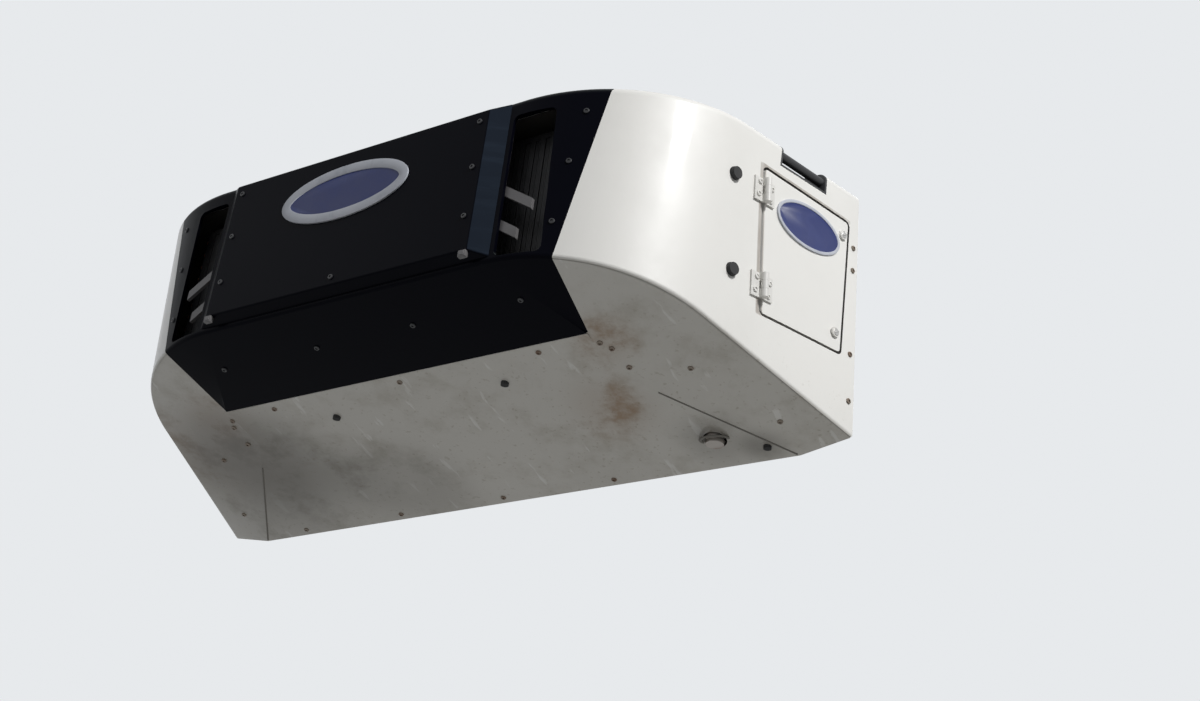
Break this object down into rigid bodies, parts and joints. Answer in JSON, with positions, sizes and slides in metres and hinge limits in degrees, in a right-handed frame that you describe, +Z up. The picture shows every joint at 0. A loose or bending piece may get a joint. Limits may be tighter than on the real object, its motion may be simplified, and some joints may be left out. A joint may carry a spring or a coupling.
{
  "type": "truck refrigeration unit",
  "caption": "Nose-mounted truck refrigeration unit: moulded housing with a black air-intake front and side doors outside the wall, evaporator with blowers inside.",
  "frame": {"origin": "centre of the four wall bolts, on the wall face", "axes": "+Z up, +Y through the wall into the load space, +X to the right as seen from the front; the front faces -Y"},
  "size_m": [1.724, 1.0833, 0.6398],
  "materials": {
    "housing_white": "moulded glass-fibre skin, weathered gloss",
    "insert_black": "moulded black plastic, dusty sheen",
    "bar_grey": "light grey paint",
    "hardware_steel": "plated steel",
    "rubber_black": "matt rubber",
    "grip_black": "grained black plastic",
    "frame_steel": "black chassis paint",
    "gasket_foam": "closed-cell foam strip",
    "coil_aluminium": "thin fins",
    "radiator_black": "black core and tanks",
    "shroud_black": "moulded black plastic",
    "motor_paint": "dark paint",
    "fan_black": "moulded black plastic",
    "guard_wire": "black coated wire",
    "engine_iron": "painted castings",
    "compressor_iron": "grey castings",
    "alternator_aluminium": "cast shell",
    "cleaner_black": "moulded canister",
    "battery_case": "moulded case",
    "tank_paint": "black paint",
    "control_paint": "grey paint",
    "muffler_steel": "heat-stained sheet steel",
    "evaporator_white": "white sheet over insulation",
    "grille_aluminium": "satin bars"
  },
  "bodies": {
    "unit": {"roof_cover": "housing_white", "lower_tray": "housing_white", "side_panel_right": "housing_white", "side_panel_left": "housing_white", "front_insert": "insert_black", "centre_panel": "insert_black", "guard_bars_right": "bar_grey", "guard_bars_left": "bar_grey", "hinge_brackets_right": "hardware_steel", "hinge_brackets_left": "hardware_steel", "door_buffers": "rubber_black", "grip_right": "grip_black", "grip_left": "grip_black", "mounting_frame": "frame_steel", "wall_gasket": "gasket_foam", "condenser_coil": "coil_aluminium", "radiator": "radiator_black", "fan_shroud": "shroud_black", "fan_motor": "motor_paint", "fan_guard": "guard_wire", "engine_block": "engine_iron", "compressor": "compressor_iron", "alternator": "alternator_aluminium", "air_cleaner": "cleaner_black", "battery": "battery_case", "receiver_tank": "tank_paint", "control_box": "control_paint", "muffler": "muffler_steel", "drain_plugs": "rubber_black", "evaporator_housing": "evaporator_white", "evaporator_coil": "coil_aluminium", "return_grille": "grille_aluminium", "blower_motors": "motor_paint", "blower_guards": "guard_wire"},
    "right_door": {"door_right": "housing_white", "door_fittings_right": "hardware_steel"},
    "left_door": {"door_left": "housing_white", "door_fittings_left": "hardware_steel"},
    "fan_rotor": {"condenser_fan": "fan_black"},
    "left_blower": {"blower_left": "fan_black"},
    "right_blower": {"blower_right": "fan_black"}
  },
  "joints": [
    {"name": "right_door_hinge", "type": "hinge", "parent": "unit", "child": "right_door", "pos_m": [0.79364, -0.29302, -0.10085], "axis": [-0.035, 0.1172, -0.9925], "range_deg": [0, 170]},
    {"name": "left_door_hinge", "type": "hinge", "parent": "unit", "child": "left_door", "pos_m": [-0.79364, -0.29302, -0.10085], "axis": [-0.035, -0.1172, 0.9925], "range_deg": [0, 170]},
    {"name": "fan_rotor_spin", "type": "hinge", "parent": "unit", "child": "fan_rotor", "pos_m": [0, -0.322, 0.25722], "axis": [0, -0.1074, 0.9942], "continuous": true},
    {"name": "left_blower_spin", "type": "hinge", "parent": "unit", "child": "left_blower", "pos_m": [-0.27, 0.306, 0.062], "axis": [0, 1, 0], "continuous": true},
    {"name": "right_blower_spin", "type": "hinge", "parent": "unit", "child": "right_blower", "pos_m": [0.27, 0.306, 0.062], "axis": [0, 1, 0], "continuous": true}
  ]
}
